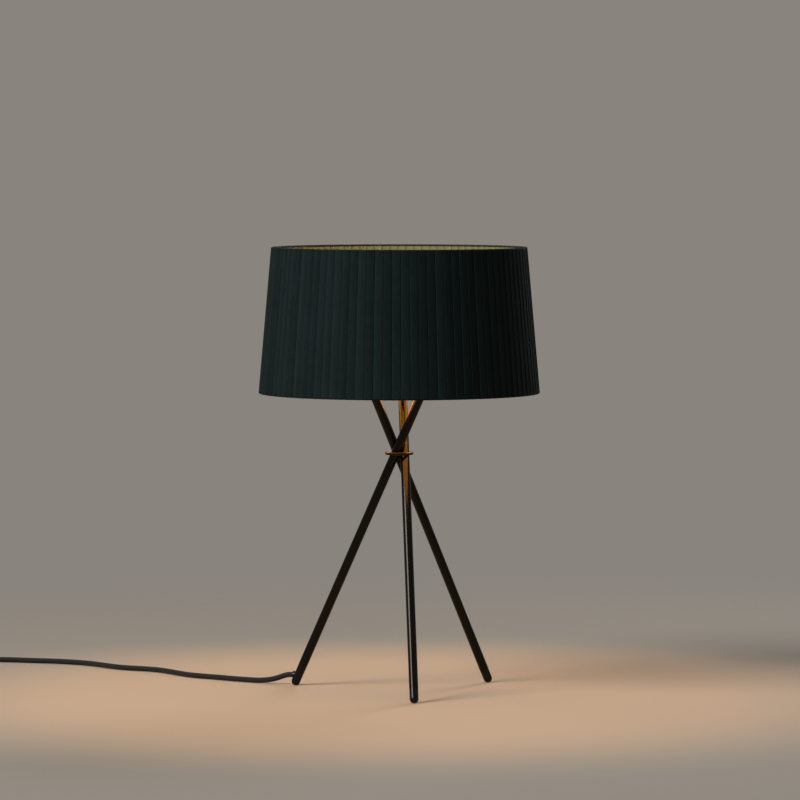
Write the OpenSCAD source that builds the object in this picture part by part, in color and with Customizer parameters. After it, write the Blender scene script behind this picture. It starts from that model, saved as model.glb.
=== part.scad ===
// Tripod table lamp: three straight crossing tubes, a drum of upright ribbon strips, a cord with a switch.
// Origin on the floor under the middle of the shade, +Z up, millimetres. The front leg points to -Y.

/* [Tripod] */
// Lean of each leg from upright, in degrees
leg_tilt = 25.5; // [20:0.5:30]
// Radius of the circle that the three foot balls stand on
foot_circle_r = 125; // [105:1:145]
// Direction of the right leg's foot, in degrees from +X
right_foot_dir = 37.4; // [20:0.2:50]
// Outer diameter of a leg tube
leg_d = 10; // [9:0.5:12]
// Wall of a leg tube
leg_wall = 1; // [0.8:0.1:1.4]
// Gap between two tubes where they cross
leg_gap = 0.15; // [0.1:0.05:0.5]
// Length of tube above the crossing
leg_above = 95; // [88:1:100]

/* [Feet] */
// Diameter of a foot cap
foot_d = 9.7; // [9:0.1:10]
// Length of a plain foot cap, from its tip to the tube
foot_len = 17; // [14:1:22]
// Length of the foot cap that lets the cord out
cord_foot_len = 26; // [25:1:32]
// Depth of the small flat under each foot
foot_flat = 0.35; // [0.2:0.05:0.8]
// Length of the cap's plug inside the tube
foot_plug_len = 10; // [6:1:14]
// Height of the cord outlet above the floor
outlet_z = 11.7; // [11:0.1:12.5]
// Diameter of the outlet's collar
outlet_d = 8.4; // [8:0.2:9]
// How far the outlet's collar stands out from the leg's middle line
outlet_reach = 6.4; // [6:0.2:8]

/* [Binding ring] */
// How far the ring lies below the crossing
ring_drop = 3.7; // [2:0.1:6]
// Height of the ring
ring_h = 3.2; // [2.4:0.2:4]
// Radial width of the ring
ring_w = 3.8; // [2.6:0.1:5]
// Gap between the ring and the tubes
ring_gap = 0.15; // [0.1:0.05:0.4]

/* [Carrier] */
// Diameter of the carrier's middle boss
boss_d = 30; // [24:1:34]
// Height of the boss
boss_h = 9; // [7:0.5:12]
// Width of a carrier arm
arm_w = 9; // [7:0.5:11]
// Thickness of a carrier arm
arm_t = 5; // [3.5:0.5:7]
// Wall of the cups that hold the tube tops
cup_wall = 2.5; // [2:0.1:3]
// Depth of the cups
cup_depth = 14; // [12:1:18]
// Thickness of a cup's roof
cup_roof = 3; // [2:0.5:4]
// Gap between a tube and its cup
cup_gap = 0.05; // [0.05:0.05:0.2]
// Diameter of the grub screws in the cups
grub_d = 3; // [2.5:0.5:4]

/* [Lampholder] */
// Diameter of the threaded nipple
nipple_d = 10; // [9:0.5:11]
// Bore of the nipple
nipple_bore = 7; // [6:0.5:7.5]
// Width across the flats of the nut under the carrier
nut_af = 14; // [14:0.5:17]
// Height of that nut
nut_h = 4.5; // [3:0.5:6]
// Diameter of the lampholder's shell
holder_d = 39; // [38:0.5:42]
// Height of the lampholder's lower cap
holder_cap_h = 18; // [16:1:22]
// Height of the lampholder's shell above the cap
holder_body_h = 26; // [24:1:30]
// Wall of the lampholder's shell
holder_wall = 1.8; // [1.4:0.1:2.2]
// Diameter of the flange that carries the shade
flange_d = 45; // [43:0.5:50]
// Thickness of the flange
flange_h = 2; // [1.5:0.5:3]
// Wall of the brass screw shell
screw_shell_wall = 0.5; // [0.4:0.1:0.8]
// Outer diameter of the shade's ring nut
ring_nut_d = 52; // [49:0.5:56]
// Height of the ring nut
ring_nut_h = 6; // [5:0.5:9]
// Grips round the ring nut
ring_nut_grips = 30; // [18:6:36]

/* [Bulb] */
// Diameter of the bulb's screw cap
bulb_cap_d = 26.4; // [26:0.1:26.6]
// Height of the bulb's screw cap
bulb_cap_h = 22; // [20:1:24]
// Diameter of the glass
bulb_d = 60; // [45:1:62]
// Height of the whole bulb above its lowest contact
bulb_h = 104; // [98:1:108]
// Thickness of the glass
glass_t = 0.8; // [0.6:0.1:1.2]
// Clearance round the screw cap
bulb_gap = 0.3; // [0.2:0.05:0.5]

/* [Shade] */
// Outer diameter of the shade's lower edge
shade_low_d = 310; // [290:1:330]
// Outer diameter of the shade's upper edge
shade_top_d = 282; // [262:1:300]
// Height of the lower edge above the floor
shade_z = 329; // [315:1:335]
// Height of the shade
shade_h = 161; // [150:1:180]
// Ribbon strips round the shade
ribbon_count = 96; // [60:1:120]
// Thickness of the ribbon cover
ribbon_t = 1; // [0.8:0.1:1.4]
// How far each strip's raised edge stands over its neighbour
ribbon_step = 0.5; // [0.2:0.1:0.6]
// Height of the ribbon turned in inside each edge
hem_h = 14; // [8:1:20]
// Thickness of the turned-in ribbon
hem_t = 0.6; // [0.4:0.1:1]
// Bevel of the shade's outer edges
edge_bevel = 1.2; // [0.6:0.1:1.4]
// Thickness of the stiff lining
lining_t = 0.8; // [0.5:0.1:1.2]
// Thickness of the frame's ring wires
wire_d = 2.4; // [2:0.2:3]
// Clearance between the shade's layers
layer_gap = 0.2; // [0.1:0.05:0.3]
// Thickness of the three arms of the shade's carrier
spider_wire_d = 3; // [2.4:0.2:4]
// Outer diameter of the shade carrier's middle washer
washer_d = 58; // [54:1:64]
// Thickness of that washer
washer_t = 1.5; // [1:0.1:2.5]

/* [Cord] */
// Diameter of the woven cord
cord_d = 6; // [5:0.1:6.1]
// Diameter of the lead inside the leg
lead_d = 3.4; // [3:0.1:3.6]
// Turns of spare cord in the coil
coil_turns = 5; // [4:1:6]
// Largest radius of the coil's middle line
coil_r = 41; // [39:0.5:44]
// Gap between two neighbouring turns
coil_gap = 0.5; // [0.45:0.05:1]
// Thickness of the tie round the coil
tie_t = 1; // [0.8:0.1:1.2]
// Width of the tie
tie_w = 9; // [6:1:14]

/* [Switch] */
// Length of the in-line switch
switch_l = 64; // [58:1:72]
// Width of the switch
switch_w = 25; // [24:1:30]
// Height of the switch
switch_h = 16; // [15.5:0.5:18]
// Wall of the switch housing
switch_wall = 1.8; // [1.4:0.1:2]
// Radius of the housing's corners in plan
switch_corner = 8; // [5:0.5:10]
// Width of the rocker
rocker_w = 10.4; // [9:0.2:11]
// Radius of the rocker's round ends about its pin
rocker_r = 11; // [10:0.2:12]
// Lean of the rocker to either side, in degrees
rocker_lean = 7; // [4:0.5:9]
// Diameter of the rocker's pin
pin_d = 2; // [1.6:0.2:2.4]
// Running gap round the rocker's pin
pin_gap = 0.05; // [0.03:0.01:0.08]
// Length of the tapered boots on the switch
switch_boot_l = 22; // [20:1:26]

/* [Plug] */
// Width of the plug
plug_w = 35; // [34:0.5:38]
// Thickness of the plug
plug_t = 13.7; // [13.2:0.1:15]
// Length of the plug's body
plug_l = 34; // [30:1:40]
// Diameter of a plug pin
plug_pin_d = 4; // [3.8:0.1:4.2]
// Length of pin outside the plug
plug_pin_l = 19; // [18:0.5:20]
// Distance between the two pins
plug_pitch = 18.6; // [18:0.1:19]
// Length of the insulating sleeve on each pin, from the plug's front
pin_sleeve_l = 10; // [9:0.5:11]
// Diameter of that sleeve
pin_sleeve_d = 3.6; // [3.4:0.1:3.6]
// Length of the tapered boot on the plug
plug_boot_l = 28; // [22:1:32]

/* [Hidden] */

// Curves and small shared clearances
$fn = 48;
cut = 0.1;
fit_gap = 0.1;
far = 400;

// Tripod: three lines that pass the axis at cross_r, turned by leg_twist from pointing straight at it
cross_r = (leg_d + leg_gap) * sqrt(1 + pow(tan(leg_tilt), 2) / 4) / sqrt(3);
leg_twist = -asin(cross_r / foot_circle_r);
foot_z = foot_d / 2 - foot_flat;
foot_run = sqrt(pow(foot_circle_r, 2) - pow(cross_r, 2));
foot_s = -foot_run / sin(leg_tilt);
cross_z = foot_z + foot_run / tan(leg_tilt);
leg_bore = leg_d - 2 * leg_wall;
foot_plug_d = leg_bore - 2 * fit_gap;
RIGHT = 0;
LEFT = 1;
FRONT = 2;

// Cord outlet in the left foot
outlet_run = (cross_z - outlet_z) * tan(leg_tilt);
outlet_s = (outlet_z - cross_z) / cos(leg_tilt);
cord_bore = cord_d + 0.2;
lead_bore = lead_d + 1;
cord_seat = 2.4;

// Binding ring: its bore hugs the three leaning tubes at the ring's lower edge
ring_z = cross_z - ring_drop;
function tube_reach(z) = max([for (a = [0:3:357])
  norm([cross_r + leg_d / 2 * cos(a), (z - cross_z) * tan(leg_tilt) + leg_d / 2 / cos(leg_tilt) * sin(a)])]);
ring_bore_r = tube_reach(ring_z - ring_h / 2) + ring_gap;

// Carrier: the arms meet the cups half way up
cup_mid_s = leg_above - cup_depth / 2;
arm_z = cross_z + cup_mid_s * cos(leg_tilt);
arm_run = cup_mid_s * sin(leg_tilt);
cup_d = leg_d + 2 * cup_gap + 2 * cup_wall;
boss_z = arm_z - boss_h / 2;
boss_top = arm_z + boss_h / 2;
tube_clear = 2 * leg_d;

// Lampholder, from the boss upwards
nipple_low = boss_z - nut_h - 2;
nipple_top = boss_top + 9;
body_z = boss_top + holder_cap_h;
flange_top = body_z + flange_h;
mouth_z = body_z + holder_body_h;
cap_wall = 1.6;
cap_foot_d = 22;
core_d = holder_d - 2 * holder_wall - 2 * fit_gap;
screw_shell_bore = bulb_cap_d + 2 * bulb_gap;
core_bore = screw_shell_bore + 2 * screw_shell_wall + 2 * fit_gap;
core_floor = 5;
thread_pitch = 2;
thread_depth = 0.6;
ring_nut_bore = holder_d + 2 * fit_gap;
nut_grip_d = 1.6;

// Bulb: it stands on the middle contact
contact_t = 0.6;
contact_rise = 2.5;
bulb_z = body_z + core_floor + contact_t + contact_rise + bulb_gap;
bulb_tip_h = 3;
bulb_tip_d = 9;
bulb_tip_gap = 0.2;
neck_r = bulb_cap_d / 2 - 1.6 - fit_gap;
neck_top = bulb_tip_h + bulb_cap_h + 5;
ball_z = bulb_h - bulb_d / 2;
ball_rise = ball_z - neck_top;
stem_d = 9;
stem_tip_d = 5;
stem_flare_h = 8;
stem_h = 46;
stem_low = bulb_tip_h + bulb_cap_h - 4;
filament_d = 1.8;
filament_l = 30;
filament_n = 4;
filament_r = 7;
filament_rise = 16;
filament_low = bulb_tip_h + bulb_cap_h + filament_rise;
filament_wire_d = 0.6;
// Radius of the stem's slim part at height h above the bulb's lowest contact
function stem_r(h) = (stem_d + (stem_tip_d - stem_d)
  * (h - stem_low - stem_flare_h) / (stem_h - stem_flare_h)) / 2;

// Shade: a straight cone, layer by layer from its outer face inwards
shade_low_r = shade_low_d / 2;
shade_top_r = shade_top_d / 2;
lining_in = ribbon_t + layer_gap;
wire_in = lining_in + lining_t + layer_gap + wire_d / 2;
shade_wall = wire_in + wire_d / 2 + layer_gap + hem_t;
rim_t = ribbon_t + layer_gap;
wire_rise = rim_t + layer_gap + wire_d / 2;
function shade_r(h) = shade_low_r + (shade_top_r - shade_low_r) * h / shade_h;
ribbon_pitch = 360 / ribbon_count;
ribbon_start = 270.9;
riser_turn = 0.25;
spider_turn = -10.8;
spider_post_h = hem_h + spider_wire_d;
weld_gap = 0.05;
washer_bore = holder_d + 2 * fit_gap;

// Cord route on the floor, from the foot to the switch (chosen by hand)
cord_z = 3;
route_to_switch = [
  [-114.6, 47.6, 11.7], [-118.2, 49.3, 11.7], [-124, 52, 11.4], [-130, 54.8, 9.6], [-136, 57.7, 7.2],
  [-143, 61.2, 5.2], [-151, 65.4, 3.8], [-160, 70.3, 3.1], [-170, 76.5, 3], [-182, 84, 3], [-194, 93, 3],
  [-206, 102, 3], [-219, 110.5, 3], [-231, 119.5, 3], [-242, 131, 3], [-252, 145, 3], [-262, 160, 3],
  [-272, 173, 3], [-284, 183, 3], [-297, 190, 3], [-310, 196.5, 3], [-322, 205, 3], [-333, 216, 3],
  [-343, 228, 3], [-354, 240, 3], [-367, 251, 3], [-382, 260, 3], [-398, 267, 3], [-415, 272, 3],
  [-432, 277, 3], [-449, 282, 3], [-464, 285, 3], [-477, 284.5, 3], [-488, 279, 3], [-496, 270, 3.4],
  [-499.6, 259, 4.9], [-500, 249, 7], [-500, 241, 8], [-500, 234, 8]
];
switch_x = -500;
switch_y = 180;
switch_z = switch_h / 2;
coil_x = switch_x - coil_r;
coil_y = 60;
coil_low_z = cord_d / 2 + tie_t + 0.3;
layer_h = cord_d + coil_gap;
coil_top_z = coil_low_z + layer_h;
coil_lead = 8;
route_to_coil = [
  [-500, 126, 8], [-500, 119, 8], [-500, 109, 6.8], [-500, 97, 5.1], [-500, 85, 4.4], [-500, 75, 4.3],
  [-500, 68, 4.3]
];
plug_x = -497;
plug_y = -56;
plug_z = plug_t / 2;
pin_skin = 1.5;
pin_root_l = 6.5;
pin_root_d = 5;
pin_neck_d = 2.6;
pin_tip_l = 1;
route_to_plug = [
  [-500, 52, 10.8], [-500, 45.5, 10.8], [-499.6, 36, 9.4], [-498.8, 24, 6.2], [-498, 12, 3.9],
  [-497.4, 1, 3.2], [-497, -9, 4.3], [-497, -16, 6], [-497, -22, 6.85], [-497, -28, 6.85]
];

// Coil: it spirals in on the floor, climbs over half a turn and spirals out on top
climb = 0.5;
spiral_turns = (coil_turns - climb) / 2;
function coil_radius(t) = coil_r - layer_h * min(t, coil_turns - t);
function coil_height(t) = coil_low_z + layer_h * (t < spiral_turns ? 0
  : t < spiral_turns + climb ? (1 - cos(180 * (t - spiral_turns) / climb)) / 2 : 1);
function coil_point(t) = [coil_x + coil_radius(t) * cos(-360 * t), coil_y + coil_radius(t) * sin(-360 * t),
  coil_height(t)];
loop_rings = 24;
coil_steps = loop_rings * coil_turns;
coil_line = [
  [switch_x, coil_y + coil_lead, coil_low_z],
  for (i = [0:coil_steps]) coil_point(i / loop_rings),
  [switch_x, coil_y - coil_lead, coil_top_z]
];
tie_low = coil_r - layer_h * coil_turns / 2 - cord_d / 2 - 0.9;
tie_high = coil_r - layer_h / 2 + cord_d / 2 + 0.5;

// Switch inside
rocker_hole_l = 22.4;
rocker_hole_w = rocker_w + 0.8;
cheek_t = 2.2;
pivot_up = 4;
screw_x = 8;
screw_y = 24;
screw_d = 2.4;
screw_head_d = 4.4;
boot_base_d = 9.4;
boot_tip_d = 7.2;

// Gap between neighbouring turns, measured on the middle line's points
own_gap = min([for (i = [0:coil_steps + 2]) for (j = [i + loop_rings / 2:1:coil_steps + 2])
  norm(coil_line[i] - coil_line[j])]) - cord_d;
echo(coil_least_gap = own_gap);

// ---- helpers ----

// Places children on leg k, at distance s above the crossing, with +Z along the tube
module on_leg(k, s) {
  rotate([0, 0, right_foot_dir + 120 * k + leg_twist + 90])
    translate([cross_r, 0, cross_z])
      rotate([-leg_tilt, 0, 0])
        translate([0, 0, s])
          children();
}

// Places children on the left leg's middle line at the cord outlet, with +Z pointing out of it
module at_outlet() {
  rotate([0, 0, right_foot_dir + 120 * LEFT + leg_twist + 90])
    translate([cross_r, -outlet_run, outlet_z])
      rotate([90, 0, 0])
        children();
}

module pipe(d, bore, h) {
  difference() {
    cylinder(d = d, h = h);
    translate([0, 0, -cut]) cylinder(d = bore, h = h + 2 * cut);
  }
}

// A rectangle with round corners, made of plain shapes
module round_rect(w, l, r) {
  square([w - 2 * r, l], center = true);
  square([w, l - 2 * r], center = true);
  for (x = [-1, 1]) for (y = [-1, 1])
    translate([x * (w / 2 - r), y * (l / 2 - r)]) circle(r = r);
}

function unit(v) = v / norm(v);
function along(line, i) = unit(line[min(i + 1, len(line) - 1)] - line[max(i - 1, 0)]);

// Faces of a closed skin over n sections of m points; ring = true joins the last section to the first
function skin_faces(n, m, ring) = [
  for (i = [0:n - (ring ? 1 : 2)]) for (j = [0:m - 1])
    let (k = (i + 1) % n, a = i * m + j, b = i * m + (j + 1) % m, c = k * m + (j + 1) % m, d = k * m + j)
      each [[a, c, b], [a, d, c]]
];
function end_fan(first, m, flip) = [
  for (j = [1:m - 2]) flip ? [first, first + j + 1, first + j] : [first, first + j, first + j + 1]
];

// A round tube along a line of points; flat_way is a direction that the line never runs along
module sweep(line, d, sides, flat_way) {
  n = len(line);
  points = [
    for (i = [0:n - 1])
      let (t = along(line, i), u = unit(cross(t, flat_way)), v = cross(u, t))
        for (j = [0:sides - 1])
          let (a = 360 * (j + 0.5) / sides) line[i] + d / 2 * (cos(a) * u + sin(a) * v)
  ];
  polyhedron(points, concat(skin_faces(n, sides, false), end_fan(0, sides, false),
    end_fan((n - 1) * sides, sides, true)), convexity = 8);
}

// ---- tripod ----

module leg_tube(k, cap_len) {
  low = foot_s - foot_d / 2 + cap_len;
  on_leg(k, low) pipe(leg_d, leg_bore, leg_above - low);
}

module leg_right() color("#1b1b1d") leg_tube(RIGHT, foot_len);
module leg_left() color("#1b1b1d") leg_tube(LEFT, cord_foot_len);
module leg_front() color("#1b1b1d") leg_tube(FRONT, foot_len);

module cap_body(k, cap_len) {
  difference() {
    on_leg(k, foot_s) {
      sphere(d = foot_d);
      cylinder(d = foot_d, h = cap_len - foot_d / 2);
      cylinder(d = foot_plug_d, h = cap_len - foot_d / 2 + foot_plug_len);
    }
    translate([-far / 2, -far / 2, -far / 4]) cube([far, far, far / 4]);
  }
}

module foot_right() color("#232325") cap_body(RIGHT, foot_len);
module foot_front() color("#232325") cap_body(FRONT, foot_len);

module foot_cord_outlet() color("#232325") {
  difference() {
    union() {
      cap_body(LEFT, cord_foot_len);
      at_outlet() cylinder(d = outlet_d, h = outlet_reach);
    }
    at_outlet() translate([0, 0, cord_seat - cord_d / 2]) cylinder(d = cord_bore, h = far / 10);
    on_leg(LEFT, outlet_s) cylinder(d = lead_bore, h = cord_foot_len + foot_plug_len);
  }
}

module binding_ring() color("#1b1b1d") {
  bevel = ring_h / 4;
  translate([0, 0, ring_z]) rotate_extrude($fn = 96)
    translate([ring_bore_r + ring_w / 2, 0]) round_rect(ring_w, ring_h, bevel);
}

// ---- carrier and lampholder ----

module carrier() color("#26262a") {
  difference() {
    union() {
      translate([0, 0, boss_z]) cylinder(d = boss_d, h = boss_h);
      for (k = [RIGHT, LEFT, FRONT]) {
        rotate([0, 0, right_foot_dir + 120 * k + leg_twist + 90])
          translate([cross_r, 0, arm_z])
            translate([-arm_w / 2, 0, -arm_t / 2]) cube([arm_w, arm_run, arm_t]);
        on_leg(k, leg_above - cup_depth) cylinder(d = cup_d, h = cup_depth + cup_roof);
      }
    }
    translate([0, 0, boss_z - cut]) cylinder(d = nipple_d + 2 * fit_gap, h = boss_h + 2 * cut);
    for (k = [RIGHT, LEFT, FRONT]) {
      on_leg(k, leg_above - cup_depth - tube_clear)
        cylinder(d = leg_d + 2 * cup_gap, h = cup_depth + tube_clear);
      on_leg(k, leg_above - cut) cylinder(d = lead_bore, h = cup_roof + 2 * cut);
      on_leg(k, cup_mid_s) rotate([-90, 0, 0]) cylinder(d = grub_d + 2 * fit_gap, h = cup_d);
    }
  }
}

module cup_grub_screws() color("#8c8c90") {
  for (k = [RIGHT, LEFT, FRONT])
    on_leg(k, cup_mid_s) rotate([-90, 0, 0]) translate([0, 0, leg_d / 2 + cup_gap])
      difference() {
        cylinder(d = grub_d, h = cup_wall);
        translate([0, 0, cup_wall - 1.2]) cylinder(d = grub_d / 2, h = 2, $fn = 6);
      }
}

module nipple() color("#b9b9bd") {
  translate([0, 0, nipple_low]) pipe(nipple_d, nipple_bore, nipple_top - nipple_low);
}

module nipple_nut() color("#b9b9bd") {
  translate([0, 0, boss_z - nut_h]) difference() {
    cylinder(d = nut_af / cos(30), h = nut_h, $fn = 6);
    translate([0, 0, -cut]) cylinder(d = nipple_d + 2 * fit_gap, h = nut_h + 2 * cut);
  }
}

// The cap is a cup with a rounded shoulder, screwed on the nipple
module holder_cap() color("#1f1f21") {
  r = holder_d / 2;
  foot = cap_foot_d / 2;
  h = holder_cap_h;
  difference() {
    translate([0, 0, boss_top]) rotate_extrude($fn = 96) difference() {
      polygon([[0, 0], [foot, 0], [foot, 3], [r - 3, 9], [r - 1, 11], [r, 13.5], [r, h], [0, h]]);
      polygon([[-1, 3], [foot - 2, 3], [r - 3 - cap_wall, 9 + cap_wall / 2], [r - cap_wall, 13.5],
        [r - cap_wall, h + 1], [-1, h + 1]]);
    }
    translate([0, 0, boss_top - cut]) cylinder(d = nipple_d + 2 * fit_gap, h = holder_cap_h);
    rotate([0, 0, right_foot_dir + 120 * LEFT + leg_twist + 90])
      translate([cross_r, 0, boss_top + holder_cap_h - 5])
        rotate([-90, 0, 0]) cylinder(d = lead_bore, h = far / 10);
  }
}

// The shell has a flange for the shade and a coarse thread above it
module holder_shell() color("#1f1f21") {
  r = holder_d / 2;
  turns = floor((holder_body_h - flange_h - 3) / thread_pitch);
  translate([0, 0, body_z]) rotate_extrude($fn = 96) polygon([
    [r - holder_wall, 0], [flange_d / 2, 0], [flange_d / 2, flange_h],
    for (i = [0:turns - 1]) each [
      [r - thread_depth, flange_h + i * thread_pitch],
      [r, flange_h + (i + 0.35) * thread_pitch],
      [r, flange_h + (i + 0.65) * thread_pitch]
    ],
    [r - thread_depth, flange_h + turns * thread_pitch],
    [r - thread_depth, holder_body_h], [r - holder_wall, holder_body_h]
  ]);
}

module holder_core() color("#efece4") {
  translate([0, 0, body_z]) difference() {
    cylinder(d = core_d, h = holder_body_h - 1);
    translate([0, 0, core_floor]) cylinder(d = core_bore, h = holder_body_h);
    for (x = [-1, 1]) translate([x * 7, 0, -cut]) cylinder(d = 3, h = core_floor + 2 * cut);
  }
}

module holder_screw_shell() color("#c8a24a") {
  translate([0, 0, body_z + core_floor + 1])
    pipe(screw_shell_bore + 2 * screw_shell_wall, screw_shell_bore, holder_body_h - core_floor - 3);
}

// The middle contact is a bent tongue on the core's floor
module holder_contact() color("#c8a24a") {
  floor_z = body_z + core_floor;
  translate([0, 0, floor_z]) rotate([90, 0, 0]) translate([0, 0, -2.5]) linear_extrude(5)
    polygon([[-9, 0], [-3, 0], [-2, contact_rise], [3, contact_rise], [3, contact_rise + contact_t],
      [-2.5, contact_rise + contact_t], [-3.5, contact_t], [-9, contact_t]]);
}

module ring_nut() color("#1f1f21") {
  translate([0, 0, flange_top + washer_t]) difference() {
    cylinder(d = ring_nut_d, h = ring_nut_h, $fn = 96);
    translate([0, 0, -cut]) cylinder(d = ring_nut_bore, h = ring_nut_h + 2 * cut, $fn = 96);
    for (i = [0:ring_nut_grips - 1]) rotate([0, 0, i * 360 / ring_nut_grips])
      translate([ring_nut_d / 2, 0, 1.5]) cylinder(d = nut_grip_d, h = ring_nut_h, $fn = 16);
  }
}

// ---- shade ----

module wire_ring(h) {
  translate([0, 0, shade_z + h]) rotate_extrude($fn = 120)
    translate([shade_r(h) - wire_in, 0]) circle(d = wire_d, $fn = 24);
}

module rod(from, to, d) {
  v = to - from;
  translate(from) rotate([0, acos(v[2] / norm(v)), atan2(v[1], v[0])]) cylinder(d = d, h = norm(v), $fn = 24);
}

module shade_bottom_ring() color("#d8d8da") wire_ring(wire_rise);

// Three posts behind the hem on the lower ring, three arms and the washer, welded together
module shade_spider() color("#d8d8da") {
  post_foot = [shade_r(wire_rise) - wire_in, 0, shade_z + wire_rise];
  post_top = [shade_r(spider_post_h) - wire_in, 0, shade_z + spider_post_h];
  post_way = unit(post_top - post_foot);
  arm_end = [washer_d / 2 - 2, 0, flange_top + washer_t / 2 + 1];
  for (i = [0:2]) rotate([0, 0, right_foot_dir + spider_turn + 120 * i]) {
    rod(post_foot + (wire_d / 2 + weld_gap) * post_way, post_top, wire_d);
    translate(post_top) sphere(d = wire_d, $fn = 24);
    rod(post_top, arm_end, spider_wire_d);
  }
  translate([0, 0, flange_top]) pipe(washer_d, washer_bore, washer_t);
}

module shade_top_ring() color("#d8d8da") wire_ring(shade_h - wire_rise);

module shade_lining() color("#e8dfc4") {
  low = rim_t + layer_gap;
  high = shade_h - low;
  translate([0, 0, shade_z]) rotate_extrude($fn = 180) polygon([
    [shade_r(low) - lining_in, low], [shade_r(high) - lining_in, high],
    [shade_r(high) - lining_in - lining_t, high], [shade_r(low) - lining_in - lining_t, low]
  ]);
}

// Outline of the folded ribbon: depth behind the outer face, height, and whether the strips step there
fold_outline = [
  [shade_wall, hem_h, 0], [shade_wall, 0, 0], [edge_bevel, 0, 1], [0, edge_bevel, 1],
  [0, shade_h - edge_bevel, 1], [edge_bevel, shade_h, 1], [shade_wall, shade_h, 0],
  [shade_wall, shade_h - hem_h, 0], [shade_wall - hem_t, shade_h - hem_h, 0],
  [shade_wall - hem_t, shade_h - rim_t, 0], [ribbon_t, shade_h - rim_t, 0], [ribbon_t, rim_t, 0],
  [shade_wall - hem_t, rim_t, 0], [shade_wall - hem_t, hem_h, 0]
];

// Each strip falls from its raised left edge to its right edge, which lies under the next strip
module shade_ribbon() color("#1c2a29") {
  columns = [for (i = [0:ribbon_count - 1]) each [
    [ribbon_start + i * ribbon_pitch, 0],
    [ribbon_start + (i + 1) * ribbon_pitch - riser_turn, ribbon_step]
  ]];
  points = [for (c = columns) for (p = fold_outline)
    let (r = shade_r(p[1]) - p[0] - p[2] * c[1]) [r * cos(c[0]), r * sin(c[0]), shade_z + p[1]]];
  polyhedron(points, skin_faces(len(columns), len(fold_outline), true), convexity = 10);
}

// ---- bulb ----

// Half outline of the glass, drawn in by t: a neck, a flowing shoulder and a ball
function glass_line(t) =
  let (
    n = neck_r - t,
    b = bulb_d / 2 - t,
    f = (n * n + ball_rise * ball_rise - b * b) / (2 * b - 2 * n),
    meet = atan2(ball_rise, n + f)
  )
  concat(
    [[n, bulb_tip_h + bulb_cap_h - 5]],
    [for (i = [0:8]) let (a = 180 - i * meet / 8) [n + f + f * cos(a), neck_top + f * sin(a)]],
    [for (i = [1:15]) let (a = -meet + i * (90 + meet) / 16) [b * cos(a), ball_z + b * sin(a)]],
    [[0, ball_z + b]]
  );

module bulb_glass() color("#f4efe2", 0.4) {
  outer = glass_line(0);
  inner = glass_line(glass_t);
  n = len(inner);
  translate([0, 0, bulb_z]) rotate_extrude($fn = 96)
    polygon(concat(outer, [for (i = [n - 1:-1:0]) inner[i]]));
}

module bulb_cap() color("#c9c9cc") {
  r = bulb_cap_d / 2;
  pitch = 3.6;
  turns = 4;
  low = bulb_tip_h;
  top = bulb_tip_h + bulb_cap_h;
  translate([0, 0, bulb_z]) rotate_extrude($fn = 96) difference() {
    polygon([
      [bulb_tip_d / 2 + bulb_tip_gap, low], [r - 3, low], [r - 1, low + 2],
      for (i = [0:turns - 1]) each [[r - 0.9, low + 2.2 + i * pitch], [r, low + 3.1 + i * pitch],
        [r, low + 4 + i * pitch]],
      [r - 0.9, low + 2.2 + turns * pitch], [r - 0.5, top], [bulb_tip_d / 2 + bulb_tip_gap, top]
    ]);
    polygon([[0, low + 0.6], [r - 3.6, low + 0.6], [r - 1.6, low + 2.6], [r - 1.6, top + 1], [0, top + 1]]);
  }
}

module bulb_contact() color("#b9b9bd") {
  translate([0, 0, bulb_z]) cylinder(d1 = 6, d2 = bulb_tip_d, h = bulb_tip_h + 0.3);
}

// Glass stem inside the bulb, flared where it is melted to the neck
module bulb_stem() color("#f4efe2", 0.5) {
  translate([0, 0, bulb_z + stem_low]) {
    cylinder(d1 = 2 * (neck_r - glass_t - fit_gap), d2 = stem_d, h = stem_flare_h);
    translate([0, 0, stem_flare_h - cut])
      cylinder(d1 = stem_d, d2 = stem_tip_d, h = stem_h - stem_flare_h + cut);
  }
}

// Light sticks, each held off the stem by a short wire
module bulb_filaments() color("#f2c14e") {
  wire_up = 1;
  for (i = [0:filament_n - 1]) rotate([0, 0, 45 + i * 360 / filament_n])
    translate([filament_r, 0, bulb_z + filament_low]) {
      cylinder(d = filament_d, h = filament_l, $fn = 24);
      translate([0, 0, wire_up]) rotate([0, -90, 0])
        cylinder(d = filament_wire_d, h = filament_r - stem_r(filament_low + wire_up) - 0.1, $fn = 16);
    }
}

// ---- wiring inside the leg ----

// Points in the left leg's own upright plane: [across, up]
lead_bend = 7;
lead_clear = 30;
lead_low = [-outlet_run - cord_seat, outlet_z];
function leg_yz(s) = [s * sin(leg_tilt), cross_z + s * cos(leg_tilt)];
cap_entry = [holder_d / 2 - 5, boss_top + holder_cap_h - 5];
roof_yz = leg_yz(leg_above + cup_roof);
lead_yz = [
  lead_low, lead_low + [1.2, 0], lead_low + [2.6, 0.9], leg_yz(outlet_s + 3.4), leg_yz(outlet_s + lead_bend),
  leg_yz(outlet_s + lead_clear), leg_yz(0), leg_yz(leg_above / 2), leg_yz(leg_above), roof_yz,
  roof_yz + [0.9, 3.4], roof_yz + [0, 6.8], roof_yz + [-3, 9.2], roof_yz + [-7, 10],
  [(roof_yz[0] + cap_entry[0]) / 2 - 3, (roof_yz[1] + 8 + cap_entry[1]) / 2 + 1.4],
  cap_entry + [8, 0.3], cap_entry + [3, 0], cap_entry
];

module inner_lead() color("#151515") {
  rotate([0, 0, right_foot_dir + 120 * LEFT + leg_twist + 90])
    sweep([for (p = lead_yz) [cross_r, p[0], p[1]]], lead_d, 8, [1, 0, 0]);
}

// ---- cord, switch and plug ----

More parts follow.
